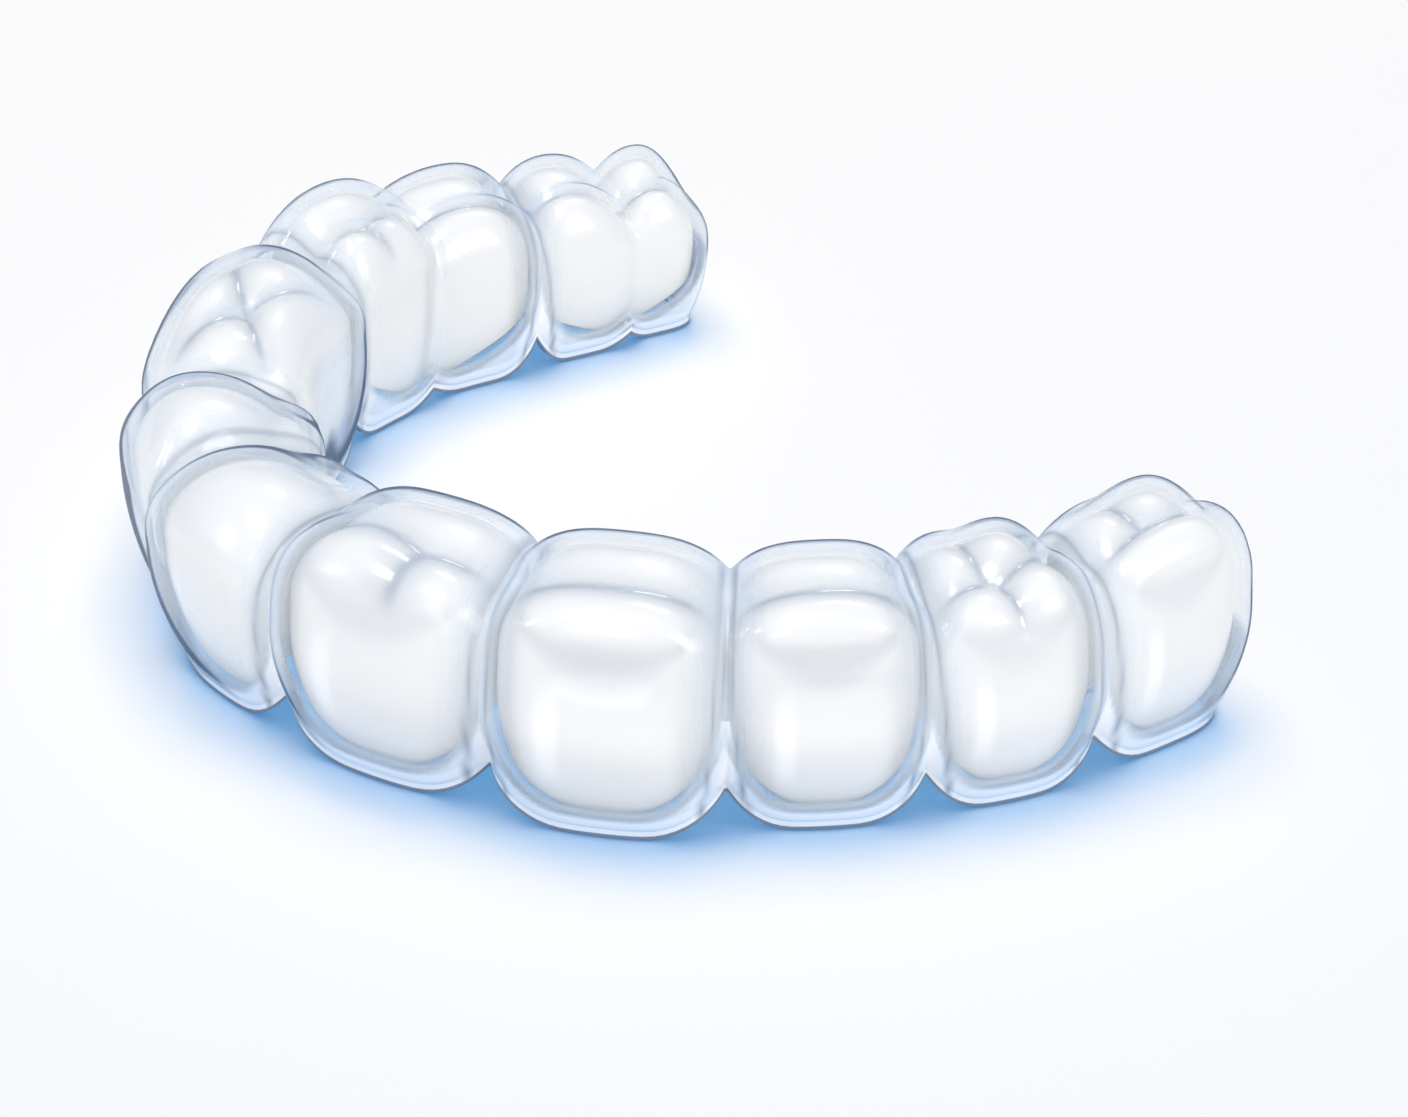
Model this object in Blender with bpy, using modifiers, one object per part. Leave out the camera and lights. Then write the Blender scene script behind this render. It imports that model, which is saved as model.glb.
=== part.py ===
"""Clear aligner over its row of tooth crowns, lying rim down with the biting side up.

Lengths are in millimetres until the vertices are written. Shapes are worked out in
arch coordinates: s along the centre line of the tooth row (0 at its foremost point,
positive towards the right arm), n outward from that line, and z up from the rim.
"""

import math

import bmesh
import bpy
import numpy as np

MM = 0.001

# The centre line of the row seen from above: a rounded front that runs into a straight
# leg on each side. The front of the mouth faces -Y.
ARCH_HALF_WIDTH = {"left": 16.1, "right": 28.0}
ARCH_DEPTH = {"left": 20.0, "right": 31.1}
ARCH_ROUNDNESS = {"left": 1.95, "right": 1.82}
ARCH_SPLAY = {"left": -0.1, "right": -0.05}
LEG_LENGTH = 60.0
ARCH_SMOOTHING = 1.5

# The shell
WALL = 0.5
SEAT_GAP = 0.35
RIM_RISE = 2.1
LOBE_RIM_RISE = 0.9
RIM_FLAT = 0.34
RIM_BAND = 0.45

# The crowns
CROWN_EDGE = 0.6
CROWN_EDGE_RISE = 0.34
UNDERSIDE_RISE = 0.6
CONTACT_GAP = 0.3
LOBE_OVERLAP = 0.9

# Shape shared by every cell and crown
FACE_SQUARENESS = 3.6
FOOT_SQUARENESS = 3.0
SHOULDER_SQUARENESS = 2.6
SHOULDER_DEPTH = 3.6
WAIST_INSET = 1.8
WAIST_SHARE = 0.62
FISSURE_DEPTH = 2.2
CROWN_CRISPNESS = 8.0
CELL_CRISPNESS = 3.0
GROOVE_FILLET = 6.0

# Cusps of each biting surface: place along and across the cell as shares of its half
# size, reach along and across, and how far the tip lies below the highest one.
RIDGED = ((0, 0.52, 1.5, 0.66, 0.05), (0, -0.4, 1.4, 0.66, 0))
CUSPS = {
    "front_left": ((0, 0.25, 1.3, 0.7, 0), (0.5, -0.5, 0.7, 0.7, 1.4)),
    "front_right": ((-0.05, 0.3, 1.2, 0.7, 0), (0.45, -0.5, 0.6, 0.6, 1.5)),
    "shouldered": ((-0.4, 0.45, 0.8, 0.6, 0), (0.5, 0.5, 0.8, 0.55, 0.3), (0.1, -0.35, 1.2, 0.65, 0.2)),
    "ridged": RIDGED,
    "sloped": (
        (-0.35, 0.5, 0.6, 0.5, 0.6),
        (0.75, 0.35, 0.7, 0.55, 0.1),
        (-0.6, -0.35, 0.65, 0.6, 0.2),
        (0.25, -0.4, 0.65, 0.55, 0.1),
    ),
    "end_ridged": (
        (0.7, 0.5, 1.6, 0.5, 0),
        (-0.5, -0.3, 0.6, 0.6, 0.3),
        (0.3, -0.4, 0.65, 0.6, 0.2),
    ),
    "crossed": (
        (-0.5, 0.15, 0.5, 0.65, 0.1),
        (0, 0.6, 0.55, 0.5, 0.1),
        (0.1, -0.55, 0.65, 0.5, 0.3),
        (0.6, 0.05, 0.45, 0.6, 0.4),
    ),
    "molar_front": ((0.1, 0.45, 1.0, 0.6, 0), (0.35, -0.6, 0.7, 0.5, 0.6), (-0.5, -0.5, 0.6, 0.5, 0.8)),
    "molar_back": ((0, 0.4, 1.0, 0.65, 0), (0, -0.6, 1.2, 0.5, 0.3)),
    "end_front": ((0.1, 0.4, 0.9, 0.65, 0), (0.1, -0.6, 0.9, 0.5, 0.3)),
    "end_back": ((0, 0.4, 0.9, 0.65, 0), (0, -0.65, 0.9, 0.5, 0.7)),
}

# A hollow in the outer face, just below the front ridge of the crowns that have one.
HOLLOWS = {"ridged": 0.55, "shouldered": 0.35, "sloped": 0.35, "end_ridged": 0.35}
HOLLOW_BELOW_CUSPS = 2.3
HOLLOW_REACH_UP = 0.8
HOLLOW_REACH_DOWN = 2.0
HOLLOW_SPREAD = 0.7

# How far the outer face leans inwards between two shares of the cell's height.
LEANS = {"ridged": 1.2, "shouldered": 0.6, "sloped": 0.9, "end_ridged": 0.5}
LEAN_FROM = 0.4
LEAN_TO = 0.9

# Cells from the end of the left arm to the end of the right one: crown that fills it,
# width, depth outside and inside the centre line, height of the cusps, biting surface.
CELLS = (
    ("crown_left_4", 4.2, 3.8, 2.4, 9.3, "end_back"),
    ("crown_left_4", 5.6, 4.2, 2.8, 9.8, "end_front"),
    ("crown_left_3", 7.0, 4.3, 3.2, 10.6, "molar_back"),
    ("crown_left_3", 6.8, 3.1, 3.5, 12.4, "molar_front"),
    ("crown_left_2", 12.5, 2.9, 4.7, 12.4, "crossed"),
    ("crown_left_1", 6.0, 3.6, 4.6, 11.7, "front_left"),
    ("crown_right_1", 7.9, 4.6, 4.5, 11.4, "front_right"),
    ("crown_right_2", 10.1, 5.1, 4.4, 11.9, "shouldered"),
    ("crown_right_3", 10.0, 5.7, 3.6, 12.0, "ridged"),
    ("crown_right_4", 8.6, 4.6, 3.9, 11.6, "ridged"),
    ("crown_right_5", 7.7, 4.3, 4.7, 11.4, "sloped"),
    ("crown_right_6", 8.1, 4.0, 3.4, 11.8, "end_ridged"),
)
CELLS_LEFT_OF_MIDLINE = 6
MIDLINE_SHIFT = -0.1

# Mesh density
CELL_STATIONS = (-1.0, -0.86, -0.64, -0.34, 0.0, 0.34, 0.64, 0.86)
END_STATIONS = 11
WALL_ROWS = 2
TOP_ROWS = (0, 20, 34, 44, 54, 65, 77, 90)
CROWN_SIDES = 26
CROWN_WALL_ROWS = 2
CROWN_TOP_ROWS = (0, 20, 33, 43, 52, 61, 71, 81, 90)
HALVINGS = 22


def build_arch():
    """Points along the centre line and the length s at each, 0 at the foremost point."""
    halves = []
    for side, sign in (("left", -1), ("right", 1)):
        width, depth = ARCH_HALF_WIDTH[side], ARCH_DEPTH[side]
        power = 2 / ARCH_ROUNDNESS[side]
        turn = np.linspace(0, math.pi / 2, 1500)
        leg = np.linspace(0.05, LEG_LENGTH, 200)
        x = np.append(width * np.sin(turn) ** power, width + ARCH_SPLAY[side] * leg)
        y = np.append(depth * (1 - np.cos(turn) ** power), depth + leg)
        halves.append(np.stack([sign * x, y], 1))
    points = np.vstack([halves[0][::-1], halves[1][1:]])
    length = np.append(0, np.cumsum(np.hypot(*np.diff(points, axis=0).T)))
    return points, length - length[len(halves[0]) - 1]


def on_arch(arch, s):
    """Smoothed point of the centre line at s and the outward direction there."""
    points, length = arch

    def at(q):
        return np.stack([np.interp(q, length, points[:, 0]), np.interp(q, length, points[:, 1])], -1)

    along = at(s + ARCH_SMOOTHING) - at(s - ARCH_SMOOTHING)
    along /= np.linalg.norm(along, axis=-1)[..., None]
    outward = np.stack([along[..., 1], -along[..., 0]], -1)
    half = ARCH_SMOOTHING / 2
    return (at(s) + at(s + half) + at(s - half)) / 3, outward


def to_world(arch, s, n, z):
    centre, outward = on_arch(arch, s)
    return np.concatenate([centre + outward * n[..., None], z[..., None]], -1)


def place_cells():
    """One dictionary per cell, with its middle in s."""
    edge = MIDLINE_SHIFT - sum(cell[1] for cell in CELLS[:CELLS_LEFT_OF_MIDLINE])
    cells = []
    for crown, width, outside, inside, height, surface in CELLS:
        cells.append(
            {
                "crown": crown,
                "s": edge + width / 2,
                "width": width,
                "outside": outside,
                "inside": inside,
                "height": height,
                "cusps": CUSPS[surface],
                "hollow": HOLLOWS.get(surface, 0),
                "lean": LEANS.get(surface, 0),
                "pads": [CONTACT_GAP / 2, CONTACT_GAP / 2],
            }
        )
        edge += width
    for before, after in zip(cells, cells[1:]):
        if before["crown"] == after["crown"]:
            before["pads"][1] = after["pads"][0] = -LOBE_OVERLAP
    return cells


def biting_height(cell, x, y, offset, crispness):
    """Height of the biting surface: blended domes with fissures where they meet."""
    across = (cell["outside"] + cell["inside"]) / 2
    u = x / (cell["width"] / 2)
    v = (y - (cell["outside"] - cell["inside"]) / 2) / across
    total = np.full(np.shape(u), math.exp(-crispness * FISSURE_DEPTH))
    for cusp_u, cusp_v, reach_u, reach_v, drop in cell["cusps"]:
        fall = ((u - cusp_u) / reach_u) ** 2 + ((v - cusp_v) / reach_v) ** 2
        total = total + np.exp(-crispness * (drop + fall))
    return cell["height"] + offset + np.log(total) / crispness


def outside_of(cell, x, y, z, offset, crispness):
    """Negative inside the cell's form grown by offset, positive outside it."""
    waist = WAIST_SHARE * cell["height"]
    sunk = (np.clip(waist - z, 0, None) / waist) ** 2
    inset = WAIST_INSET * sunk
    pad = np.where(x > 0, cell["pads"][1], cell["pads"][0])
    half_width = cell["width"] / 2 - pad + offset - 0.4 * inset
    above = z - cell["height"] + HOLLOW_BELOW_CUSPS
    away = above / np.where(above > 0, HOLLOW_REACH_UP, HOLLOW_REACH_DOWN)
    aside = x / (HOLLOW_SPREAD * cell["width"] / 2)
    hollow = cell["hollow"] * np.exp(-(away**2) - aside**4)
    climb = np.clip((z / cell["height"] - LEAN_FROM) / (LEAN_TO - LEAN_FROM), 0, 1)
    outside = cell["outside"] - hollow - cell["lean"] * climb**2 * (3 - 2 * climb)
    half_depth = np.where(y > 0, outside, cell["inside"]) + offset - inset
    face = FACE_SQUARENESS + (FOOT_SQUARENESS - FACE_SQUARENESS) * sunk
    ring = ((np.abs(x) / half_width) ** face + (np.abs(y) / half_depth) ** face) ** (1 / face)
    shoulder = cell["height"] - SHOULDER_DEPTH
    rise = np.clip(z - shoulder, 0, None) / (biting_height(cell, x, y, offset, crispness) - shoulder)
    bend = SHOULDER_SQUARENESS
    return (ring**bend + rise**bend) ** (1 / bend) - 1


def reach_of(cells, s, across, z, step, offset, crispness):
    """Distance from the points (s, 0, z) along step, in s, n and z, to the cells' joint skin."""
    s, z = np.broadcast_arrays(s, z)
    found = []
    for cell in cells:
        x = s - cell["s"]
        low = np.zeros(s.shape)
        high = np.full(s.shape, cell["width"] + cell["height"])
        starts_inside = outside_of(cell, x, 0 * x, z, offset, crispness) < 0
        if not starts_inside.any():
            continue
        for _ in range(HALVINGS):
            middle = (low + high) / 2
            inside = (
                outside_of(
                    cell,
                    x + step[0] * middle,
                    step[1] * middle,
                    z + step[2] * middle,
                    offset,
                    crispness,
                )
                < 0
            )
            low = np.where(inside, middle, low)
            high = np.where(inside, high, middle)
        found.append(np.where(starts_inside, (low + high) / 2, 0))
    found = np.array(found)
    most = found.max(0)
    blend = np.exp((found - most) * across).sum(0)
    return most + np.log(blend) / across


def skin(cells, s, ahead, out, foot, band, hub, wall_rows, top_rows, offset, crispness):
    """Rows of points from the foot height up the wall and over the top, in arch coordinates.

    s, ahead and out give each column's base on the centre line and its level direction.
    A band above the foot stands upright, so that the foot's edge comes out level.
    """
    rows = []
    low = foot + band
    for share in np.arange(wall_rows) / wall_rows:
        z = low + (hub - low) * share
        far = reach_of(cells, s, GROOVE_FILLET, z, (ahead, out, 0 * s), offset, crispness)
        rows.append(np.stack([s + ahead * far, out * far, z], -1))
    if band:
        rows.insert(0, rows[0] - (0, 0, band))
    for degrees in top_rows:
        level = math.cos(math.radians(degrees))
        up = math.sin(math.radians(degrees))
        step = (ahead * level, out * level, up + 0 * s)
        far = reach_of(cells, s, GROOVE_FILLET, hub, step, offset, crispness)
        rows.append(np.stack([s + step[0] * far, step[1] * far, hub + step[2] * far], -1))
    return np.array(rows)


def shell_columns(cells):
    """Base and level direction of each column round the shell, anticlockwise from above."""
    first, last = cells[0]["s"], cells[-1]["s"]
    stations = {first, last}
    for cell in cells:
        for share in CELL_STATIONS:
            stations.add(round(cell["s"] + share * cell["width"] / 2, 6))
    stations = sorted(q for q in stations if first <= q <= last)
    turn = np.linspace(0, math.pi, END_STATIONS + 2)[1:-1]
    columns = [(q, 0, 1) for q in stations]
    columns += [(last, math.sin(a), math.cos(a)) for a in turn]
    columns += [(q, 0, -1) for q in reversed(stations)]
    columns += [(first, -math.sin(a), -math.cos(a)) for a in turn]
    return np.array(columns, float).T


def rim_height(cells, s, ahead):
    """The scalloped rim: level in the middle of each cell, highest between two cells."""
    share, peak = np.full(s.shape, 2.0), np.full(s.shape, RIM_RISE)
    for cell in cells:
        aside = (s - cell["s"]) / (cell["width"] / 2)
        own = np.where(np.take(cell["pads"], (aside > 0) * 1) < 0, LOBE_RIM_RISE, RIM_RISE)
        peak = np.where(np.abs(aside) < share, own, peak)
        share = np.minimum(share, np.abs(aside))
    rise = np.clip((share - RIM_FLAT) / (1 - RIM_FLAT), 0, None) ** 2
    return np.where(np.abs(ahead) < 1e-9, peak * rise, 0)


def shell_points(arch, cells):
    s, ahead, out = shell_columns(cells)
    middles = [cell["s"] for cell in cells]
    hub = np.interp(s, middles, [cell["height"] / 2 for cell in cells])
    foot = rim_height(cells, s, ahead)
    offset = SEAT_GAP + WALL
    rows = skin(
        cells, s, ahead, out, foot, RIM_BAND, hub, WALL_ROWS, TOP_ROWS, offset, CELL_CRISPNESS
    )
    return to_world(arch, rows[..., 0], rows[..., 1], rows[..., 2])


def crown_points(arch, cells):
    """Closed rows of points of one crown, from the middle of its underside to its top."""
    start = cells[0]["s"] - cells[0]["width"] / 2
    end = cells[-1]["s"] + cells[-1]["width"] / 2
    sides = CROWN_SIDES + 8 * (len(cells) - 1)
    angle = np.linspace(0, 2 * math.pi, sides + 1)
    s = np.full(sides + 1, cells[0]["s"] if len(cells) == 1 else cells[0]["s"] + cells[0]["width"] / 2)
    ahead, out = np.sin(angle), np.cos(angle)
    height = sum(cell["height"] for cell in cells) / len(cells)
    hub = np.full(sides + 1, height / 2)
    widest = reach_of(cells, s, GROOVE_FILLET, hub, (ahead, out, 0 * s), 0, CROWN_CRISPNESS)
    share = (s + ahead * widest - (start + end) / 2) / ((end - start) / 2)
    foot = CROWN_EDGE + CROWN_EDGE_RISE * height * np.abs(share) ** 2.9
    rows = skin(
        cells, s, ahead, out, foot, 0, hub, CROWN_WALL_ROWS, CROWN_TOP_ROWS, 0, CROWN_CRISPNESS
    )
    edge = rows[0]
    middle = np.stack([s, 0 * s, np.full(sides + 1, foot.mean() + UNDERSIDE_RISE)], -1)
    under = [middle, middle + (edge - middle) * 0.55]
    rows = np.concatenate([under, rows])
    return to_world(arch, rows[..., 0], rows[..., 1], rows[..., 2])


def sheet(rows, shift, closed):
    """A grid moved onto rows of points, with its seam and the points that meet welded."""
    if closed:
        rows = np.concatenate([rows, rows[:, :1]], 1)
    count_up, count_round = rows.shape[:2]
    mesh = bmesh.new()
    bmesh.ops.create_grid(mesh, x_segments=count_round - 1, y_segments=count_up - 1, size=1)
    mesh.verts.ensure_lookup_table()
    points = (rows - shift).reshape(-1, 3) * MM
    for vert, point in zip(mesh.verts, points):
        vert.co = point
    bmesh.ops.remove_doubles(mesh, verts=mesh.verts[:], dist=1e-6)
    return mesh


def add_wall(node, wall):
    """Thickens the sheet inwards from its outer surface."""
    solidify = node.modifiers.new("wall", "SOLIDIFY")
    solidify.thickness = wall
    solidify.offset = -1
    solidify.use_even_offset = True


def add_node(name, mesh, collection, colour, roughness, alpha):
    data = bpy.data.meshes.new(name)
    mesh.to_mesh(data)
    mesh.free()
    node = bpy.data.objects.new(name, data)
    collection.objects.link(node)
    material = bpy.data.materials.new(name)
    material.use_nodes = True
    shader = material.node_tree.nodes["Principled BSDF"]
    shader.inputs["Base Color"].default_value = (*colour, 1)
    shader.inputs["Roughness"].default_value = roughness
    shader.inputs["Alpha"].default_value = alpha
    data.materials.append(material)
    data.shade_smooth()
    return node


def build():
    for old in list(bpy.data.objects):
        bpy.data.objects.remove(old)
    collection = bpy.data.collections.new("clear_aligner")
    bpy.context.scene.collection.children.link(collection)

    arch = build_arch()
    cells = place_cells()
    shell = shell_points(arch, cells)
    corners = shell.reshape(-1, 3)
    shift = (corners.min(0) + corners.max(0)) / 2
    shift[2] = 0

    mesh = sheet(shell, shift, closed=True)
    shell_node = add_node("aligner_shell", mesh, collection, (0.78, 0.87, 0.95), 0.08, 0.3)
    add_wall(shell_node, WALL * MM)

    names = []
    for cell in cells:
        if cell["crown"] not in names:
            names.append(cell["crown"])
    for name in names:
        own = [cell for cell in cells if cell["crown"] == name]
        mesh = sheet(crown_points(arch, own), shift, closed=False)
        bmesh.ops.recalc_face_normals(mesh, faces=mesh.faces[:])
        add_node(name, mesh, collection, (0.93, 0.93, 0.92), 0.25, 1)


build()
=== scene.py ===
"""Looks of a clear aligner over its tooth crowns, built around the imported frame.

The shell and the crowns follow the part's source on a finer mesh. Only two sizes differ:
the crowns are CROWN_GROWTH larger all round, and their fissures are crisper.
Lengths are in millimetres until vertices are written, and lamps are placed in metres.
Shapes are worked out in arch coordinates: s along the centre line of the tooth row (0 at
its foremost point, positive towards the right arm), n outward from that line, and z up
from the rim.
"""

import math

import bmesh
import bpy
import numpy as np
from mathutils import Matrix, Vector


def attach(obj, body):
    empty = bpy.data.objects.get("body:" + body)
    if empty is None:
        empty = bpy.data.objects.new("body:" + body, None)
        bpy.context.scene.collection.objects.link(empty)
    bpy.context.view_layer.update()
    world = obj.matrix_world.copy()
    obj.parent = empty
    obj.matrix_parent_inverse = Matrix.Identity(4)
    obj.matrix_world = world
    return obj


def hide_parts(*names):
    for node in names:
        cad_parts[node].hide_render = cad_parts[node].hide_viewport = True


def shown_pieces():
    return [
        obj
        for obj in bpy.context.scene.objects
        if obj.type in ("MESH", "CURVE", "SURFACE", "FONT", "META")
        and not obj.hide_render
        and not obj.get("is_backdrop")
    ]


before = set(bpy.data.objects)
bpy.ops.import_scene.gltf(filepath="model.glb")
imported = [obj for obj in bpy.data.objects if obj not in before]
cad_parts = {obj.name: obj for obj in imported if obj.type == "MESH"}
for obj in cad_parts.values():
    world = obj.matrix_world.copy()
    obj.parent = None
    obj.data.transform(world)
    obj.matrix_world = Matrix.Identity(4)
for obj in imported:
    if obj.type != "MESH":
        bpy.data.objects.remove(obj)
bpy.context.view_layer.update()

MM = 0.001

# The centre line of the row seen from above: a rounded front that runs into a straight
# leg on each side. The front of the mouth faces -Y.
ARCH_HALF_WIDTH = {"left": 16.1, "right": 28.0}
ARCH_DEPTH = {"left": 20.0, "right": 31.1}
ARCH_ROUNDNESS = {"left": 1.95, "right": 1.82}
ARCH_SPLAY = {"left": -0.1, "right": -0.05}
ARCH_POINTS = 1500
LEG_START = 0.05
LEG_LENGTH = 60.0
LEG_POINTS = 200
ARCH_SMOOTHING = 1.5

# The shell
WALL = 0.5
SEAT_GAP = 0.35
RIM_RISE = 2.1
LOBE_RIM_RISE = 0.9
RIM_FLAT = 0.34
RIM_BAND = 0.45
RIM_ROUNDING = 0.16

# Marks on the shell: the web over each notch of the rim, painted with a white highlight, the
# valley between two cells with a thin seam line on each side of it, the dip between two
# lobes of one crown, and the pale band below the crowns.
WEB_HEIGHT = 4.2
WEB_HALF_WIDTH = 0.7
WEB_NARROWEST = 0.15
VALLEY_HALF_WIDTH = 1.6
LOBE_DIP_HALF_WIDTH = 1.4
SEAM_AT_TOP = 0.3
SEAM_AT_RIM = 1.1
SEAM_WIDTH = 0.13
BAND_ABOVE_FOOT = 0.8
BAND_FADE = 0.55
BAND_AT_ENDS = 5.3

# The crowns
CROWN_GROWTH = 0.1
MARGIN_ROUNDING = ((0, 0.2), (0.05, 0.08), (0.12, 0.02), (0.22, 0), (0.3, 0))
CROWN_EDGE = 0.6
CROWN_EDGE_RISE = 0.34
CROWN_EDGE_BEND = 2.9
UNDERSIDE_RISE = 0.6
UNDERSIDE_REACH = 0.95
CONTACT_GAP = 0.3
LOBE_OVERLAP = 0.9

# Shape shared by every cell and crown
FACE_SQUARENESS = 3.6
FOOT_SQUARENESS = 3.0
SHOULDER_SQUARENESS = 2.6
SHOULDER_DEPTH = 3.6
WAIST_INSET = 1.8
WAIST_INSET_ALONG = 0.4
WAIST_SHARE = 0.62
FISSURE_DEPTH = 2.2
CROWN_CRISPNESS = 12.0
CELL_CRISPNESS = 3.0
GROOVE_FILLET = 6.0

# Marks along the fissures, painted shade on the crowns and where the shell's drawn line fades:
# how wide each one fades out, and where it ends below the cusps and at the sides of
# the cell.
FISSURE_SPREAD = 0.2
SHADE_SPREAD = 0.8
DIP_SPREAD = 0.9
FISSURE_BOTTOM = 2.4
FISSURE_FADE = 1.2
FISSURE_OVERHANG = 0.15

# Cusps of each biting surface: place along and across the cell as shares of its half
# size, reach along and across, and how far the tip lies below the highest one.
RIDGED = ((0, 0.52, 1.5, 0.66, 0.05), (0, -0.4, 1.4, 0.66, 0))
CUSPS = {
    "front_left": ((0, 0.25, 1.3, 0.7, 0), (0.5, -0.5, 0.7, 0.7, 1.4)),
    "front_right": ((-0.05, 0.3, 1.2, 0.7, 0), (0.45, -0.5, 0.6, 0.6, 1.5)),
    "shouldered": (
        (-0.4, 0.45, 0.8, 0.6, 0),
        (0.5, 0.5, 0.8, 0.55, 0.3),
        (0.1, -0.35, 1.2, 0.65, 0.2),
    ),
    "ridged": RIDGED,
    "sloped": (
        (-0.35, 0.5, 0.6, 0.5, 0.6),
        (0.75, 0.35, 0.7, 0.55, 0.1),
        (-0.6, -0.35, 0.65, 0.6, 0.2),
        (0.25, -0.4, 0.65, 0.55, 0.1),
    ),
    "end_ridged": (
        (0.7, 0.5, 1.6, 0.5, 0),
        (-0.5, -0.3, 0.6, 0.6, 0.3),
        (0.3, -0.4, 0.65, 0.6, 0.2),
    ),
    "crossed": (
        (-0.5, 0.15, 0.5, 0.65, 0.1),
        (0, 0.6, 0.55, 0.5, 0.1),
        (0.1, -0.55, 0.65, 0.5, 0.3),
        (0.6, 0.05, 0.45, 0.6, 0.4),
    ),
    "molar_front": (
        (0.1, 0.45, 1.0, 0.6, 0),
        (0.35, -0.6, 0.7, 0.5, 0.6),
        (-0.5, -0.5, 0.6, 0.5, 0.8),
    ),
    "molar_back": ((0, 0.4, 1.0, 0.65, 0), (0, -0.6, 1.2, 0.5, 0.3)),
    "end_front": ((0.1, 0.4, 0.9, 0.65, 0), (0.1, -0.6, 0.9, 0.5, 0.3)),
    "end_back": ((0, 0.4, 0.9, 0.65, 0), (0, -0.65, 0.9, 0.5, 0.7)),
}

# A hollow in the outer face, just below the front ridge of the crowns that have one.
HOLLOWS = {"ridged": 0.55, "shouldered": 0.35, "sloped": 0.35, "end_ridged": 0.35}
HOLLOW_BELOW_CUSPS = 2.3
HOLLOW_REACH_UP = 0.8
HOLLOW_REACH_DOWN = 2.0
HOLLOW_SPREAD = 0.7

# The painted shade in each hollow, a grey bowl: its top below the cusps, how far the top
# sags in the middle, its depth, how it fades in, and its width as a share of the cell.
BOWL_TOP = 0.9
BOWL_SAG = 0.6
BOWL_DEPTH = 2.6
BOWL_FADE = 0.7
BOWL_REACH = 0.85

# The painted highlight, a pale upright oval on each outer face, as shares of the cell's
# half width and height.
FACE_HIGHLIGHT_ACROSS = -0.42
FACE_HIGHLIGHT_WIDTH = 0.1
FACE_HIGHLIGHT_HEIGHT = 0.45
FACE_HIGHLIGHT_LENGTH = 0.2

# How far the outer face leans inwards between two shares of the cell's height.
LEANS = {"ridged": 1.2, "shouldered": 0.6, "sloped": 0.9, "end_ridged": 0.5}
LEAN_FROM = 0.4
LEAN_TO = 0.9

# Cells from the end of the left arm to the end of the right one: crown that fills it,
# width, depth outside and inside the centre line, height of the cusps, biting surface.
CELLS = (
    ("crown_left_4", 4.2, 3.8, 2.4, 9.3, "end_back"),
    ("crown_left_4", 5.6, 4.2, 2.8, 9.8, "end_front"),
    ("crown_left_3", 7.0, 4.3, 3.2, 10.6, "molar_back"),
    ("crown_left_3", 6.8, 3.1, 3.5, 12.4, "molar_front"),
    ("crown_left_2", 12.5, 2.9, 4.7, 12.4, "crossed"),
    ("crown_left_1", 6.0, 3.6, 4.6, 11.7, "front_left"),
    ("crown_right_1", 7.9, 4.6, 4.5, 11.4, "front_right"),
    ("crown_right_2", 10.1, 5.1, 4.4, 11.9, "shouldered"),
    ("crown_right_3", 10.0, 5.7, 3.6, 12.0, "ridged"),
    ("crown_right_4", 8.6, 4.6, 3.9, 11.6, "ridged"),
    ("crown_right_5", 7.7, 4.3, 4.7, 11.4, "sloped"),
    ("crown_right_6", 8.1, 4.0, 3.4, 11.8, "end_ridged"),
)
CELLS_LEFT_OF_MIDLINE = 6
MIDLINE_SHIFT = -0.1

# Mesh density
CELL_STATIONS = 32
END_STATIONS = 30
WALL_ROWS = 20
TOP_ROWS = 24
CROWN_SIDES = 150
CROWN_WALL_ROWS = 14
CROWN_TOP_ROWS = 34
LOBE_SIDES = 0.4
UNDER_ROWS = 5
HALVINGS = 18
WELD_DISTANCE = 1e-6

# Clear sheet. How far aslant it is seen where its tint and its drawn line begin and are
# full, from 0 face on to 1 edge on, and heights above the rim, in millimetres, of the dark
# line at the rim, the painted white highlight along it and the painted highlight streak above.
SIDE_ASLANT = (0.3, 0.75)
LINE_ASLANT = (0.73, 0.81)
BASE_LINE = (0.18, 0.25)
RIM_HIGHLIGHT = (0.42, 0.55)
HIGHLIGHT_STREAK_START = (0.6, 0.9)
HIGHLIGHT_STREAK_END = (1.0, 1.5)
HIGHLIGHT_STREAK_STRENGTH = 0.65
BASE_LINE_STRENGTH = 0.8
SEAM_STRENGTH = 0.6
LINE_LOST_IN_DIPS = 0.9
LINE_LOST_IN_VALLEYS = 0.8
LINE_LOST_IN_BAND = 0.6
BAND_OPACITY = 0.6
VALLEY_OPACITY = 0.35
HIGHLIGHT_OPACITY = 0.7
RIM_OPACITY = 0.9
SHEET_ROUGHNESS = 0.3
SHEET_ROUGHNESS_RANGE = 0.1
SHEET_SPECULAR = 0.1
SHEET_COAT_ROUGHNESS = 0.05
SHEETS_SEEN_THROUGH = 32

# Enamel
FISSURE_SHADE_STRENGTH = 0.55
SHADE_STRENGTH = 0.42
BOWL_SHADE_STRENGTH = 0.9
FACE_HIGHLIGHT_STRENGTH = 0.9
ENAMEL_ROUGHNESS = 0.26
ENAMEL_ROUGHNESS_RANGE = 0.12
ENAMEL_COAT = 0.8
ENAMEL_COAT_ROUGHNESS = 0.06
ENAMEL_BUMP = 0.04
ENAMEL_BUMP_DEPTH = 0.0002

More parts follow.
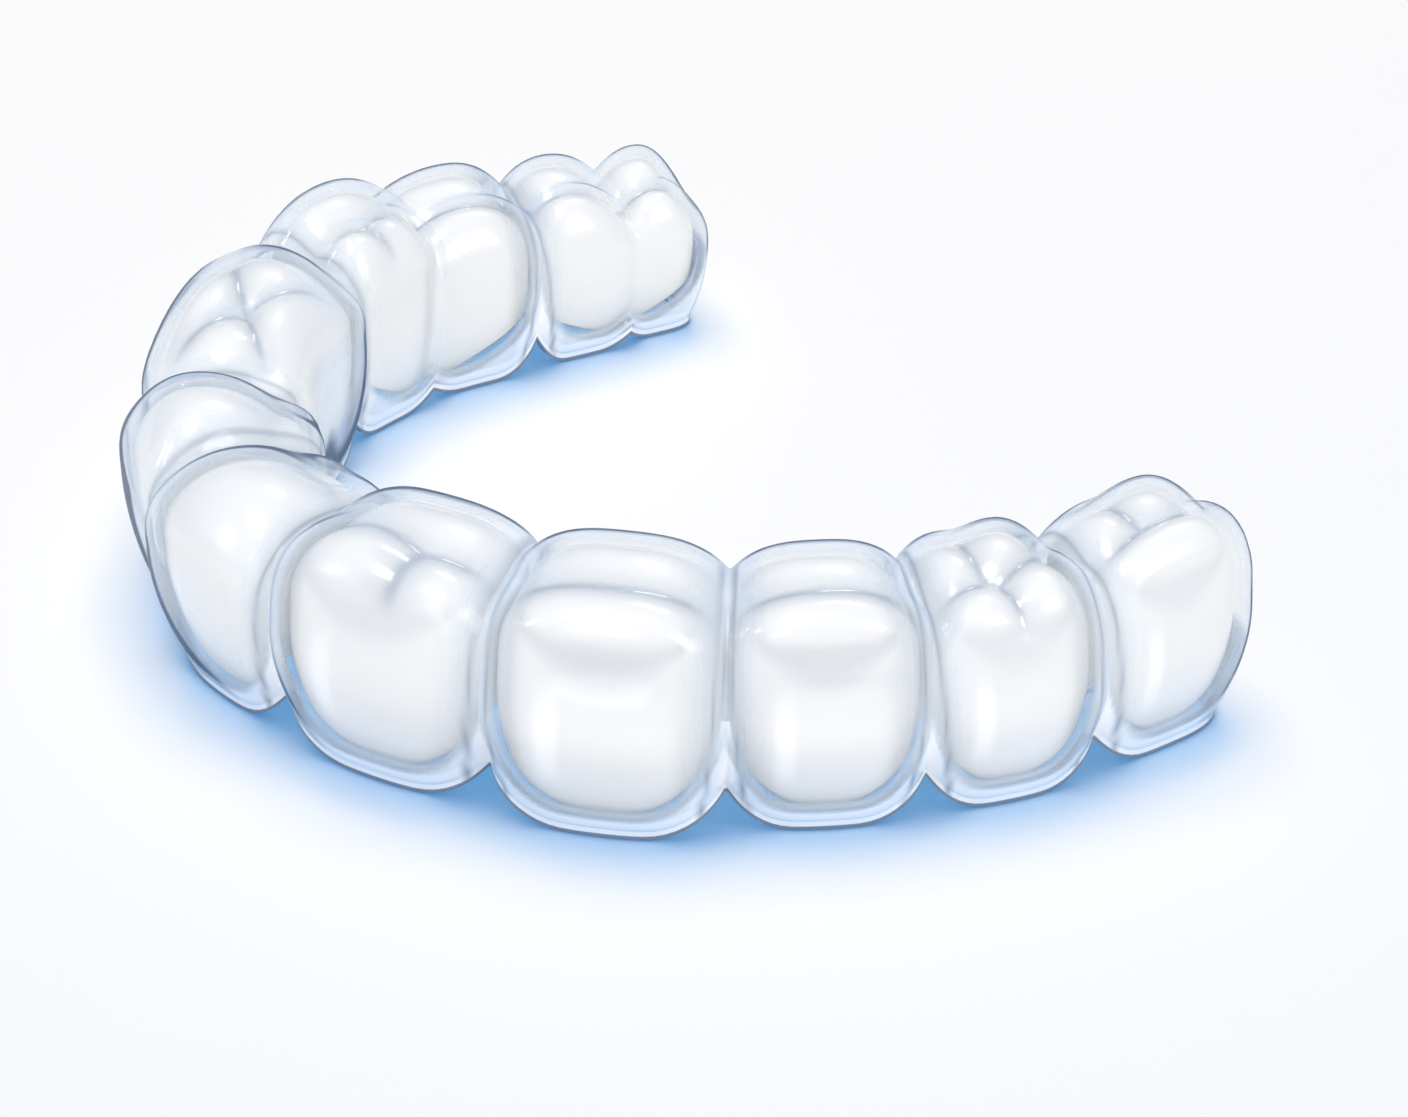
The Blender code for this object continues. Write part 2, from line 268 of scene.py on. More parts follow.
# Colours, red, green, blue and opacity
WHITE = (1.0, 1.0, 1.0, 1)
SHEET_FACE_ON = (0.92, 0.96, 1.0, 1)
SHEET_ASLANT = (0.74, 0.86, 1.0, 1)
LINE_BLUE = (0.03, 0.08, 0.17, 1)
INNER_LINE_BLUE = (0.55, 0.7, 0.9, 1)
RIM_BLUES = ((0.05, 0.11, 0.22, 1), (0.1, 0.18, 0.3, 1))
ENAMEL_WHITES = ((0.84, 0.84, 0.83, 1), (0.87, 0.87, 0.86, 1))
FISSURE_SHADE_GREY = (0.42, 0.47, 0.54, 1)
BOWL_SHADE_GREY = (0.55, 0.57, 0.6, 1)
MARGIN_GREY = (0.4, 0.47, 0.56, 1)
PAPER_WHITES = ((0.93, 0.94, 0.95, 1), (0.95, 0.955, 0.96, 1))

# Lamps, red, green and blue
AMBER = (1.0, 0.69, 0.27)
SKY_BLUE = (0.0, 0.43, 1.0)
WARM_WHITE = (1.0, 0.94, 0.86)
SOFT_WHITE = (1.0, 0.95, 0.88)
DAY_WHITE = (1.0, 0.97, 0.92)
CLEAR_WHITE = (1.0, 0.98, 0.95)
STUDIO_BLUE = (0.65, 0.78, 1.0, 1)
STUDIO_STRENGTH = 0.46
AIM = (0, 0, 0.005)

# Floor, in metres
FLOOR_HALF_SIZE = 2.5
FLOOR_DROP = 0.00005

# Camera, in degrees and millimetres
CAMERA_AZIMUTH = 59.59
CAMERA_ELEVATION = 35.09
CAMERA_DISTANCE = 196.27
CAMERA_TARGET = (6.953, 2.418, 5.0)
CAMERA_LENS = 103.26
CAMERA_SENSOR = 36


def build_arch():
    """Points along the centre line and the length s at each, 0 at the foremost point."""
    halves = []
    for side, sign in (("left", -1), ("right", 1)):
        width, depth = ARCH_HALF_WIDTH[side], ARCH_DEPTH[side]
        power = 2 / ARCH_ROUNDNESS[side]
        turn = np.linspace(0, math.pi / 2, ARCH_POINTS)
        leg = np.linspace(LEG_START, LEG_LENGTH, LEG_POINTS)
        x = np.append(width * np.sin(turn) ** power, width + ARCH_SPLAY[side] * leg)
        y = np.append(depth * (1 - np.cos(turn) ** power), depth + leg)
        halves.append(np.stack([sign * x, y], 1))
    points = np.vstack([halves[0][::-1], halves[1][1:]])
    length = np.append(0, np.cumsum(np.hypot(*np.diff(points, axis=0).T)))
    return points, length - length[len(halves[0]) - 1]


def on_arch(arch, s):
    """Smoothed point of the centre line at s and the outward direction there."""
    points, length = arch

    def at(q):
        return np.stack([np.interp(q, length, points[:, 0]), np.interp(q, length, points[:, 1])], -1)

    along = at(s + ARCH_SMOOTHING) - at(s - ARCH_SMOOTHING)
    along /= np.linalg.norm(along, axis=-1)[..., None]
    outward = np.stack([along[..., 1], -along[..., 0]], -1)
    half = ARCH_SMOOTHING / 2
    return (at(s) + at(s + half) + at(s - half)) / 3, outward


def to_world(arch, rows):
    centre, outward = on_arch(arch, rows[..., 0])
    return np.concatenate([centre + outward * rows[..., 1:2], rows[..., 2:3]], -1)


def place_cells():
    """One dictionary per cell, with its middle in s."""
    edge = MIDLINE_SHIFT - sum(cell[1] for cell in CELLS[:CELLS_LEFT_OF_MIDLINE])
    cells = []
    for crown, width, outside, inside, height, surface in CELLS:
        cells.append(
            {
                "crown": crown,
                "s": edge + width / 2,
                "width": width,
                "outside": outside,
                "inside": inside,
                "height": height,
                "cusps": CUSPS[surface],
                "hollow": HOLLOWS.get(surface, 0),
                "lean": LEANS.get(surface, 0),
                "pads": [CONTACT_GAP / 2, CONTACT_GAP / 2],
            }
        )
        edge += width
    for before, after in zip(cells, cells[1:]):
        if before["crown"] == after["crown"]:
            before["pads"][1] = after["pads"][0] = -LOBE_OVERLAP
    return cells


def cusp_falls(cell, x, y):
    """How far each cusp's dome lies below the cell's height at x, y."""
    across = (cell["outside"] + cell["inside"]) / 2
    u = x / (cell["width"] / 2)
    v = (y - (cell["outside"] - cell["inside"]) / 2) / across
    falls = []
    for cusp_u, cusp_v, reach_u, reach_v, drop in cell["cusps"]:
        falls.append(drop + ((u - cusp_u) / reach_u) ** 2 + ((v - cusp_v) / reach_v) ** 2)
    return np.array(falls)


def biting_height(cell, x, y, offset, crispness):
    """Height of the biting surface: blended domes with fissures where they meet."""
    total = math.exp(-crispness * FISSURE_DEPTH)
    total = total + np.exp(-crispness * cusp_falls(cell, x, y)).sum(0)
    return cell["height"] + offset + np.log(total) / crispness


def outside_of(cell, x, y, z, offset, crispness):
    """Negative inside the cell's form grown by offset, positive outside it."""
    waist = WAIST_SHARE * cell["height"]
    sunk = (np.clip(waist - z, 0, None) / waist) ** 2
    inset = WAIST_INSET * sunk
    pad = np.where(x > 0, cell["pads"][1], cell["pads"][0])
    half_width = cell["width"] / 2 - pad + offset - WAIST_INSET_ALONG * inset
    above = z - cell["height"] + HOLLOW_BELOW_CUSPS
    away = above / np.where(above > 0, HOLLOW_REACH_UP, HOLLOW_REACH_DOWN)
    aside = x / (HOLLOW_SPREAD * cell["width"] / 2)
    hollow = cell["hollow"] * np.exp(-(away**2) - aside**4)
    climb = np.clip((z / cell["height"] - LEAN_FROM) / (LEAN_TO - LEAN_FROM), 0, 1)
    outside = cell["outside"] - hollow - cell["lean"] * climb**2 * (3 - 2 * climb)
    half_depth = np.where(y > 0, outside, cell["inside"]) + offset - inset
    face = FACE_SQUARENESS + (FOOT_SQUARENESS - FACE_SQUARENESS) * sunk
    ring = ((np.abs(x) / half_width) ** face + (np.abs(y) / half_depth) ** face) ** (1 / face)
    shoulder = cell["height"] - SHOULDER_DEPTH
    top = biting_height(cell, x, y, offset, crispness)
    rise = np.clip(z - shoulder, 0, None) / (top - shoulder)
    bend = SHOULDER_SQUARENESS
    return (ring**bend + rise**bend) ** (1 / bend) - 1


def reach_of(cells, s, z, step, offset, crispness):
    """Distance from the points (s, 0, z) along step, in s, n and z, to the cells' joint skin."""
    s, z = np.broadcast_arrays(s, z)
    found = []
    for cell in cells:
        x = s - cell["s"]
        starts_inside = outside_of(cell, x, 0 * x, z, offset, crispness) < 0
        if not starts_inside.any():
            continue
        low = np.zeros(s.shape)
        high = np.full(s.shape, cell["width"] + cell["height"])
        for _ in range(HALVINGS):
            middle = (low + high) / 2
            ahead, out, up = (part * middle for part in step)
            inside = outside_of(cell, x + ahead, out, z + up, offset, crispness) < 0
            low = np.where(inside, middle, low)
            high = np.where(inside, high, middle)
        found.append(np.where(starts_inside, (low + high) / 2, 0))
    found = np.array(found)
    most = found.max(0)
    blend = np.exp((found - most) * GROOVE_FILLET).sum(0)
    return most + np.log(blend) / GROOVE_FILLET


def skin(cells, s, ahead, out, foot, band, hub, wall_rows, top_rows, offset, crispness):
    """Rows of points from the foot height up the wall and over the top, in arch coordinates.

    s, ahead and out give each column's base on the centre line and its level direction.
    A band above the foot stands upright, so that the foot's edge comes out level.
    """
    rows = []
    low = foot + band
    for share in np.arange(wall_rows) / wall_rows:
        z = low + (hub - low) * share
        far = reach_of(cells, s, z, (ahead, out, 0 * s), offset, crispness)
        rows.append(np.stack([s + ahead * far, out * far, z], -1))
    if band:
        rows.insert(0, rows[0] - (0, 0, band))
    for angle in np.linspace(0, math.pi / 2, top_rows):
        level, up = math.cos(angle), math.sin(angle)
        step = (ahead * level, out * level, up + 0 * s)
        far = reach_of(cells, s, hub, step, offset, crispness)
        rows.append(np.stack([s + step[0] * far, step[1] * far, hub + step[2] * far], -1))
    return np.array(rows)


def shell_columns(cells):
    """Base and level direction of each column round the shell, anticlockwise from above."""
    first, last = cells[0]["s"], cells[-1]["s"]
    stations = {first, last}
    for cell in cells:
        for share in np.sin(np.linspace(-math.pi / 2, math.pi / 2, CELL_STATIONS)):
            stations.add(round(cell["s"] + share * cell["width"] / 2, 5))
    stations = sorted(q for q in stations if first <= q <= last)
    turn = np.linspace(0, math.pi, END_STATIONS + 2)[1:-1]
    columns = [(q, 0, 1) for q in stations]
    columns += [(last, math.sin(a), math.cos(a)) for a in turn]
    columns += [(q, 0, -1) for q in reversed(stations)]
    columns += [(first, -math.sin(a), -math.cos(a)) for a in turn]
    return np.array(columns, float).T


def rim_height(cells, s, ahead):
    """The scalloped rim: level in the middle of each cell, highest between two cells."""
    share, peak = np.full(s.shape, 2.0), np.full(s.shape, RIM_RISE)
    for cell in cells:
        aside = (s - cell["s"]) / (cell["width"] / 2)
        own = np.where(np.take(cell["pads"], (aside > 0) * 1) < 0, LOBE_RIM_RISE, RIM_RISE)
        peak = np.where(np.abs(aside) < share, own, peak)
        share = np.minimum(share, np.abs(aside))
    rise = np.clip((share - RIM_FLAT) / (1 - RIM_FLAT), 0, None) ** 2
    return np.where(np.abs(ahead) < 1e-9, peak * rise, 0)


def shell_rows(cells):
    s, ahead, out = shell_columns(cells)
    middles = [cell["s"] for cell in cells]
    hub = np.interp(s, middles, [cell["height"] / 2 for cell in cells])
    foot = rim_height(cells, s, ahead)
    offset = SEAT_GAP + WALL
    return skin(
        cells, s, ahead, out, foot, RIM_BAND, hub, WALL_ROWS, TOP_ROWS, offset, CELL_CRISPNESS
    )


def crown_foot(cells, s):
    """Height of a crown's lower edge, which rises towards the crown's two ends."""
    start = cells[0]["s"] - cells[0]["width"] / 2
    end = cells[-1]["s"] + cells[-1]["width"] / 2
    height = sum(cell["height"] for cell in cells) / len(cells)
    share = (s - (start + end) / 2) / ((end - start) / 2)
    return CROWN_EDGE + CROWN_EDGE_RISE * height * np.abs(share) ** CROWN_EDGE_BEND


def crown_rows(cells):
    """Closed rows of points of one crown, from the middle of its underside to its top."""
    sides = int(CROWN_SIDES * (1 + LOBE_SIDES * (len(cells) - 1)))
    angle = np.linspace(0, 2 * math.pi, sides + 1)
    middle = cells[0]["s"] if len(cells) == 1 else cells[0]["s"] + cells[0]["width"] / 2
    s = np.full(sides + 1, middle)
    ahead, out = np.sin(angle), np.cos(angle)
    height = sum(cell["height"] for cell in cells) / len(cells)
    hub = np.full(sides + 1, height / 2)
    widest = reach_of(cells, s, hub, (ahead, out, 0 * s), CROWN_GROWTH, CROWN_CRISPNESS)
    foot = crown_foot(cells, s + ahead * widest)
    sizes = (CROWN_WALL_ROWS, CROWN_TOP_ROWS, CROWN_GROWTH, CROWN_CRISPNESS)
    rows = skin(cells, s, ahead, out, foot, 0, hub, *sizes)
    inward = np.stack([-ahead, -out, 0 * s], -1)
    margin = [rows[0] + inward * inset + (0, 0, rise) for rise, inset in MARGIN_ROUNDING]
    edge = margin[0]
    centre = np.stack([s, 0 * s, np.full(sides + 1, foot.mean() + UNDERSIDE_RISE)], -1)
    shares = np.linspace(0, UNDERSIDE_REACH, UNDER_ROWS)
    under = [centre + (edge - centre) * share for share in shares]
    return np.concatenate([under, margin, rows[1:]])


def fissures_of(cells, rows, spread):
    """1 on the biting surface's fissures, fading over spread to either side of them."""
    fissures = np.zeros(rows.shape[:2])
    for cell in cells:
        x, y = rows[..., 0] - cell["s"], rows[..., 1]
        falls = np.sort(cusp_falls(cell, x, y), axis=0)
        near = np.exp(-(((falls[1] - falls[0]) / spread) ** 2))
        high = np.clip((rows[..., 2] - (cell["height"] - FISSURE_BOTTOM)) / FISSURE_FADE, 0, 1)
        past_side = np.abs(x) / (cell["width"] / 2) - 1
        within = np.clip(1 - past_side / FISSURE_OVERHANG, 0, 1)
        fissures = np.maximum(fissures, near * high * within)
    return fissures


def hollow_shade_of(cells, rows):
    """The painted shade in the bowl-shaped hollow below each front ridge."""
    hollows = np.zeros(rows.shape[:2])
    for cell in cells:
        x, y, z = rows[..., 0] - cell["s"], rows[..., 1], rows[..., 2]
        dip = np.clip(1 - (x / (BOWL_REACH * cell["width"] / 2)) ** 2, 0, None)
        below = cell["height"] - BOWL_TOP - BOWL_SAG * dip - z
        share = below / np.maximum(BOWL_DEPTH * dip, 0.01)
        shade = np.clip(below / BOWL_FADE, 0, 1) * np.clip(2 - 2 * share, 0, 1) * (y > 0)
        hollows = np.maximum(hollows, shade * cell["hollow"])
    return hollows


def face_highlight_of(cells, rows):
    """1 on the painted highlight: a pale upright oval in each outer face's left third."""
    face_highlight = np.zeros(rows.shape[:2])
    for cell in cells:
        across = (rows[..., 0] - cell["s"]) / (cell["width"] / 2) - FACE_HIGHLIGHT_ACROSS
        along = (rows[..., 2] / cell["height"] - FACE_HIGHLIGHT_HEIGHT) / FACE_HIGHLIGHT_LENGTH
        own = np.exp(-((across / FACE_HIGHLIGHT_WIDTH) ** 4) - along**4) * (rows[..., 1] > 0)
        face_highlight = np.maximum(face_highlight, own)
    return face_highlight


def margin_of(rows):
    """1 along the thin line above a crown's lower edge."""
    margin = np.zeros(rows.shape[:2])
    margin[UNDER_ROWS + len(MARGIN_ROUNDING) - 2] = 1
    return margin


def valleys_of(cells, rows):
    """Where the shell dips: at the rim's notches, between cells, over fissures, at cell edges."""
    web = np.zeros(rows.shape[:2])
    valley = np.zeros(rows.shape[:2])
    seam = np.zeros(rows.shape[:2])
    up = (rows[..., 2] - RIM_RISE) / WEB_HEIGHT
    width = WEB_HALF_WIDTH * np.clip(1 - up, WEB_NARROWEST, 1)
    dip = fissures_of(cells, rows, DIP_SPREAD)
    for cell in cells[1:]:
        aside = rows[..., 0] - cell["s"] + cell["width"] / 2
        if cell["pads"][0] < 0:
            dip = np.maximum(dip, np.clip(1 - (aside / LOBE_DIP_HALF_WIDTH) ** 2, 0, 1))
            continue
        # The web over the notch, where the sheet is painted with a white highlight.
        own = np.clip(1 - (aside / width) ** 2, 0, 1) * np.clip(2 - 2 * up, 0, 1)
        web = np.maximum(web, own)
        valley = np.maximum(valley, np.clip(1 - (aside / VALLEY_HALF_WIDTH) ** 2, 0, 1))
        low = np.clip(1 - rows[..., 2] / cell["height"], 0, 1)
        middle = SEAM_AT_TOP + (SEAM_AT_RIM - SEAM_AT_TOP) * low**2
        seam = np.maximum(seam, np.exp(-(((np.abs(aside) - middle) / SEAM_WIDTH) ** 2)))
    return {"web": web, "valley": valley, "dip": dip, "seam": seam}


def crowns_of(cells):
    """The cells of each crown, by the crown's name."""
    groups = {}
    for cell in cells:
        groups.setdefault(cell["crown"], []).append(cell)
    return groups


def band_of(cells, rows):
    """1 on the stretch of the shell that reaches below the crowns, 0 in front of them."""
    band = np.zeros(rows.shape[:2])
    s, z = rows[..., 0], rows[..., 2]
    for own in crowns_of(cells).values():
        start = own[0]["s"] - own[0]["width"] / 2
        end = own[-1]["s"] + own[-1]["width"] / 2
        share = np.clip((crown_foot(own, s) + BAND_ABOVE_FOOT - z) / BAND_FADE, 0, 1)
        band = np.where((s >= start) & (s <= end), share, band)
    row_start = cells[0]["s"] - cells[0]["width"] / 2
    row_end = cells[-1]["s"] + cells[-1]["width"] / 2
    at_ends = np.clip((BAND_AT_ENDS - z) / BAND_FADE, 0, 1)
    return np.where((s < row_start) | (s > row_end), at_ends, band)


def grid_mesh(points, shift, closed, values):
    """A grid moved onto rows of points, with its seam and the points that meet welded."""
    if closed:
        points = np.concatenate([points, points[:, :1]], 1)
        values = {name: np.concatenate([own, own[:, :1]], 1) for name, own in values.items()}
    count_up, count_round = points.shape[:2]
    mesh = bmesh.new()
    bmesh.ops.create_grid(mesh, x_segments=count_round - 1, y_segments=count_up - 1, size=1)
    mesh.verts.ensure_lookup_table()
    flat = (points - shift).reshape(-1, 3) * MM
    for vert, point in zip(mesh.verts, flat):
        vert.co = point
    for name, own in values.items():
        layer = mesh.verts.layers.float.new(name)
        for vert, value in zip(mesh.verts, own.reshape(-1)):
            vert[layer] = value
    bmesh.ops.remove_doubles(mesh, verts=mesh.verts[:], dist=WELD_DISTANCE)
    return mesh


def add_piece(name, mesh, materials):
    data = bpy.data.meshes.new(name)
    mesh.to_mesh(data)
    mesh.free()
    piece = bpy.data.objects.new(name, data)
    bpy.context.scene.collection.objects.link(piece)
    for material in materials:
        data.materials.append(material)
    data.shade_smooth()
    return piece


class Value:
    """A shader socket that plain arithmetic works on."""

    def __init__(self, shader, socket):
        self.shader = shader
        self.socket = socket

    def math(self, operation, first, second=None):
        sockets = {0: first} if second is None else {0: first, 1: second}
        return self.shader.add("ShaderNodeMath", {"operation": operation}, sockets)

    def __add__(self, other):
        return self.math("ADD", self, other)

    def __sub__(self, other):
        return self.math("SUBTRACT", self, other)

    def __rsub__(self, other):
        return self.math("SUBTRACT", other, self)

    def __mul__(self, other):
        return self.math("MULTIPLY", self, other)

    def __pow__(self, other):
        return self.math("POWER", self, other)

    __radd__ = __add__
    __rmul__ = __mul__


class Shader:
    """A material whose nodes are added by one method."""

    def __init__(self, name):
        self.material = bpy.data.materials.new(name)
        self.material.use_nodes = True
        self.tree = self.material.node_tree
        self.surface = self.tree.nodes["Principled BSDF"]

    def fill(self, node, sockets):
        for key, value in sockets.items():
            if isinstance(value, Value):
                self.tree.links.new(value.socket, node.inputs[key])
            else:
                node.inputs[key].default_value = value

    def add(self, kind, settings, sockets, output=0):
        node = self.tree.nodes.new(kind)
        for key, value in settings.items():
            setattr(node, key, value)
        self.fill(node, sockets)
        return Value(self, node.outputs[output])

    def step(self, value, span):
        """0 below the first number of span, 1 above the second, smooth between."""
        settings = {"interpolation_type": "SMOOTHSTEP"}
        sockets = {"Value": value, "From Min": span[0], "From Max": span[1]}
        return self.add("ShaderNodeMapRange", settings, sockets)

    def mix(self, factor, first, second):
        sockets = {"Factor": factor, 6: first, 7: second}
        return self.add("ShaderNodeMix", {"data_type": "RGBA"}, sockets, 2)

    def larger(self, first, second):
        return self.add("ShaderNodeMath", {"operation": "MAXIMUM"}, {0: first, 1: second})

    def marked(self, name):
        """The mark of that name on the piece's vertices."""
        return self.add("ShaderNodeAttribute", {"attribute_name": name}, {}, "Fac")

    def noise(self, scale, detail):
        """Clouds or grain that stay fixed to the piece."""
        place = self.add("ShaderNodeTexCoord", {}, {}, "Object")
        sockets = {"Vector": place, "Scale": scale, "Detail": detail}
        return self.add("ShaderNodeTexNoise", {}, sockets)


def enamel():
    """White, glazed, with painted grey shade in the fissures and hollows and a painted pale oval
    highlight on each face.
    """
    shader = Shader("crown_enamel")
    cloud = shader.noise(scale=260.0, detail=2.0)
    grain = shader.noise(scale=900.0, detail=3.0)
    # Painted shade: grey along the fissures, a thin crease line and a soft spread around it.
    fissure_shade = shader.marked("crease_shade") * FISSURE_SHADE_STRENGTH + shader.marked("shade") * SHADE_STRENGTH
    colour = shader.mix(cloud, *ENAMEL_WHITES)
    colour = shader.mix(fissure_shade, colour, FISSURE_SHADE_GREY)
    # Painted shade: a grey bowl in the hollow below each front ridge.
    colour = shader.mix(shader.marked("hollow") * BOWL_SHADE_STRENGTH, colour, BOWL_SHADE_GREY)
    # Painted highlight: a pale upright oval on each outer face.
    colour = shader.mix(shader.marked("face_highlight") * FACE_HIGHLIGHT_STRENGTH, colour, WHITE)
    colour = shader.mix(shader.marked("margin"), colour, MARGIN_GREY)
    sockets = {"Strength": ENAMEL_BUMP, "Distance": ENAMEL_BUMP_DEPTH, "Height": grain}
    shader.fill(
        shader.surface,
        {
            "Base Color": colour,
            "Roughness": ENAMEL_ROUGHNESS + cloud * ENAMEL_ROUGHNESS_RANGE,
            "Normal": shader.add("ShaderNodeBump", {}, sockets),
            "Coat Weight": ENAMEL_COAT,
            "Coat Roughness": ENAMEL_COAT_ROUGHNESS,
        },
    )
    return shader.material


def shell_sheet(name, line_colour, line_opacity, side_opacity, face_opacity):
    """Clear sheet: faint seen face on, tinted seen aslant and drawn as a line seen edge on."""
    shader = Shader(name)
    cloud = shader.noise(scale=180.0, detail=2.0)
    aslant = shader.add("ShaderNodeLayerWeight", {}, {"Blend": 0.5}, "Facing")
    names = ("web", "valley", "band", "dip", "seam", "lift")
    web, valley, band, dip, seam, lift = (shader.marked(mark) for mark in names)
    side = shader.step(aslant, SIDE_ASLANT)
    # Painted highlights: white on the web over each notch, in a strip along the rim and in a streak
    # above it.
    edge = 1 - shader.step(lift, RIM_HIGHLIGHT)
    highlight_streak = shader.step(lift, HIGHLIGHT_STREAK_START) * (1 - shader.step(lift, HIGHLIGHT_STREAK_END))
    base = 1 - shader.step(lift, BASE_LINE)
    painted_highlight = shader.larger(shader.larger(web, edge), highlight_streak * HIGHLIGHT_STREAK_STRENGTH)
    line = shader.step(aslant, LINE_ASLANT) * (1 - dip * LINE_LOST_IN_DIPS)
    line = line * (1 - valley**4 * LINE_LOST_IN_VALLEYS) * (1 - band * LINE_LOST_IN_BAND)
    line = shader.larger(line, base * BASE_LINE_STRENGTH)
    line = shader.larger(line, seam * SEAM_STRENGTH)
    pale = shader.mix(side, SHEET_FACE_ON, SHEET_ASLANT)
    lit = shader.mix(painted_highlight, pale, WHITE)
    opacity = face_opacity + side * side_opacity + band * BAND_OPACITY
    opacity = opacity + valley * VALLEY_OPACITY + painted_highlight * HIGHLIGHT_OPACITY
    shader.fill(
        shader.surface,
        {
            "Base Color": shader.mix(line, lit, line_colour),
            "Roughness": SHEET_ROUGHNESS + cloud * SHEET_ROUGHNESS_RANGE,
            "Specular IOR Level": SHEET_SPECULAR,
            "Coat Weight": 1 - line,
            "Coat Roughness": SHEET_COAT_ROUGHNESS,
            "Alpha": opacity * (1 - line) + line * line_opacity,
        },
    )
    return shader.material


def rim_edge():
    """The cut edge of the sheet, which shows as the dark line along the rim."""
    shader = Shader("shell_rim")
    cloud = shader.noise(scale=400.0, detail=2.0)
    colour = shader.mix(cloud, *RIM_BLUES)
    roughness = SHEET_ROUGHNESS + cloud * SHEET_ROUGHNESS_RANGE
    sockets = {"Base Color": colour, "Roughness": roughness, "Alpha": RIM_OPACITY}
    shader.fill(shader.surface, sockets)
    return shader.material


def build_shell(arch, cells, rows, shift):
    values = valleys_of(cells, rows)
    values["lift"] = rows[..., 2] - rows[:1, :, 2]
    values["band"] = band_of(cells, rows)
    mesh = grid_mesh(to_world(arch, rows), shift, True, values)
    outer = shell_sheet(
        "shell_outer", LINE_BLUE, line_opacity=0.92, side_opacity=0.42, face_opacity=0.02
    )
    inner = shell_sheet(
        "shell_inner", INNER_LINE_BLUE, line_opacity=0.08, side_opacity=0.08, face_opacity=0.01
    )
    shell = add_piece("clear_shell", mesh, (outer, inner, rim_edge()))
    wall = shell.modifiers.new("wall", "SOLIDIFY")
    wall.thickness = WALL * MM
    wall.offset = -1
    wall.use_even_offset = True
    wall.material_offset = 1
    wall.material_offset_rim = 2
    rounding = shell.modifiers.new("rim_rounding", "BEVEL")
    rounding.width = RIM_ROUNDING * MM
    rounding.segments = 3
    rounding.limit_method = "ANGLE"
    rounding.angle_limit = math.radians(60)
    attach(shell, "root")
    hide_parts("aligner_shell")


def build_crowns(arch, cells, shift):
    material = enamel()
    for name, own in crowns_of(cells).items():
        rows = crown_rows(own)
        # Masks for the painted shade in fissures and hollows, the painted highlight on each face,
        # and the margin line.
        values = {
            "crease_shade": fissures_of(own, rows, FISSURE_SPREAD),
            "shade": fissures_of(own, rows, SHADE_SPREAD),
            "hollow": hollow_shade_of(own, rows),
            "margin": margin_of(rows),
            "face_highlight": face_highlight_of(own, rows),
        }
        mesh = grid_mesh(to_world(arch, rows), shift, False, values)
        bmesh.ops.recalc_face_normals(mesh, faces=mesh.faces[:])
        piece = add_piece(name.replace("crown", "tooth"), mesh, (material,))
        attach(piece, "root")
        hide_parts(name)


def add_floor():
    mesh = bmesh.new()
    bmesh.ops.create_grid(mesh, x_segments=8, y_segments=8, size=FLOOR_HALF_SIZE)
    bmesh.ops.translate(mesh, verts=mesh.verts[:], vec=(0, 0, -FLOOR_DROP))
    shader = Shader("floor_paper")
    tone = shader.mix(shader.noise(scale=30.0, detail=4.0), *PAPER_WHITES)
    sockets = {"Base Color": tone, "Roughness": 0.9, "Specular IOR Level": 0.1}
    shader.fill(shader.surface, sockets)
    floor = add_piece("floor", mesh, (shader.material,))
    floor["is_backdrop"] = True
    return floor


def add_area(name, place, size, energy, colour, only, shadow=True):
    """A softbox aimed at the object's middle that lights nothing but the pieces in only."""
    light = bpy.data.lights.new(name, "AREA")
    light.shape = "RECTANGLE"
    light.size, light.size_y = size
    light.energy = energy
    light.color = colour
    lamp = bpy.data.objects.new(name, light)
    bpy.context.scene.collection.objects.link(lamp)
    lamp.location = place
    lamp.rotation_euler = (Vector(AIM) - Vector(place)).to_track_quat("-Z", "Y").to_euler()
    light.use_shadow = shadow
    lamp.light_linking.receiver_collection = only


def toward(azimuth, elevation, distance):
    """A step of that distance, its azimuth in degrees turned from the camera's own side."""
    a = math.radians(CAMERA_AZIMUTH + azimuth)
    e = math.radians(elevation)
    return (
        distance * math.sin(a) * math.cos(e),
        -distance * math.cos(a) * math.cos(e),
        distance * math.sin(e),
    )


def collection_of(name, pieces):
    collection = bpy.data.collections.new(name)
    bpy.context.scene.collection.children.link(collection)
    for piece in pieces:
        collection.objects.link(piece)
    return collection


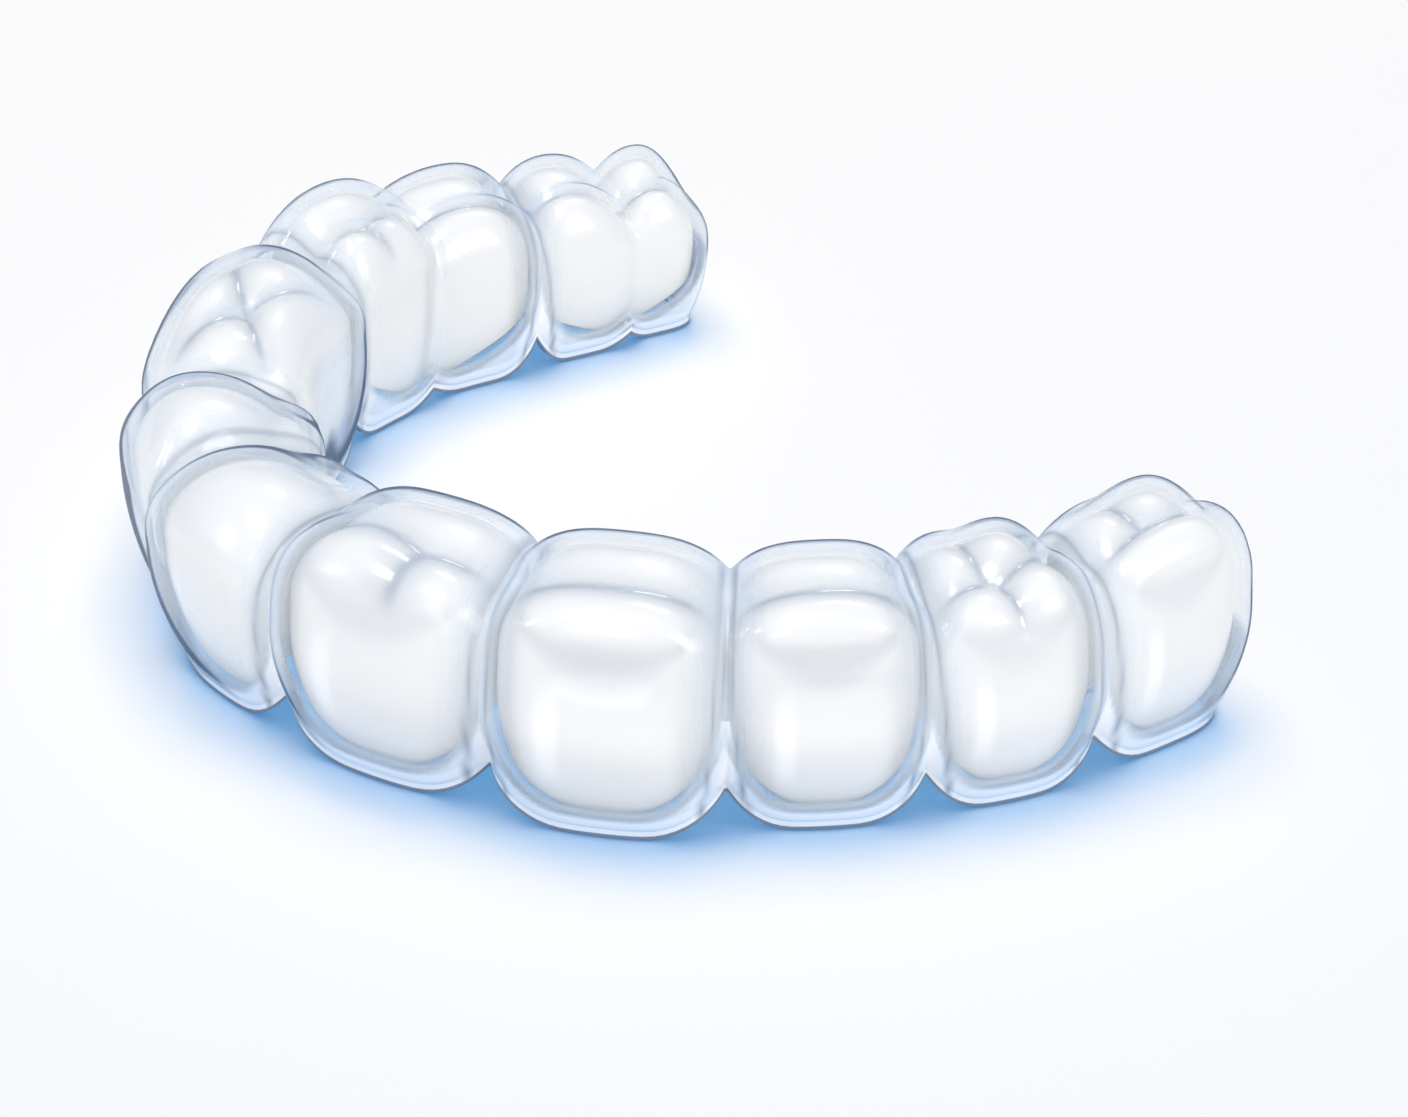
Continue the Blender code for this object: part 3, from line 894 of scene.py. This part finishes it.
def add_lights(floor):
    """Amber and blue lamps make the floor white and its shadow blue. White ones light the object."""
    on_object = collection_of("aligner_pieces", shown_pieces())
    on_floor = collection_of("floor_pieces", [floor])
    add_area("key", toward(186, 80, 0.6), (0.42, 0.42), 2.95, AMBER, on_floor)
    add_area("sky", toward(0, 88, 0.7), (0.5, 0.5), 2.1, SKY_BLUE, on_floor, shadow=False)
    add_area("top", toward(-35, 74, 0.6), (0.2, 0.2), 1.4, WARM_WHITE, on_object)
    add_area("back", toward(160, 50, 0.6), (0.2, 0.1), 0.5, CLEAR_WHITE, on_object)
    add_area("fill", toward(-20, 32, 0.8), (0.3, 0.5), 0.65, WARM_WHITE, on_object)
    add_area("side", toward(48, 34, 0.7), (0.3, 0.3), 1.8, SOFT_WHITE, on_object)
    add_area("glint", toward(-78, 31, 0.5), (0.05, 0.14), 0.45, CLEAR_WHITE, on_object)
    add_area("low", toward(0, -28, 0.5), (0.5, 0.2), 0.3, DAY_WHITE, on_object, shadow=False)
    world = bpy.data.worlds.new("studio")
    bpy.context.scene.world = world
    world.use_nodes = True
    background = world.node_tree.nodes["Background"]
    background.inputs["Color"].default_value = STUDIO_BLUE
    background.inputs["Strength"].default_value = STUDIO_STRENGTH


def add_camera():
    data = bpy.data.cameras.new("camera")
    data.lens = CAMERA_LENS
    data.sensor_width = CAMERA_SENSOR
    data.sensor_fit = "HORIZONTAL"
    camera = bpy.data.objects.new("camera", data)
    bpy.context.scene.collection.objects.link(camera)
    target = Vector(CAMERA_TARGET) * MM
    camera.location = target + Vector(toward(0, CAMERA_ELEVATION, CAMERA_DISTANCE * MM))
    camera.rotation_euler = (target - camera.location).to_track_quat("-Z", "Y").to_euler()
    bpy.context.scene.camera = camera


arch = build_arch()
cells = place_cells()
rows = shell_rows(cells)
corners = to_world(arch, rows).reshape(-1, 3)
shift = (corners.min(0) + corners.max(0)) / 2
shift[2] = 0

build_shell(arch, cells, rows, shift)
build_crowns(arch, cells, shift)
floor = add_floor()
add_lights(floor)
add_camera()
bpy.context.scene.view_settings.view_transform = "Standard"
bpy.context.scene.cycles.transparent_max_bounces = SHEETS_SEEN_THROUGH
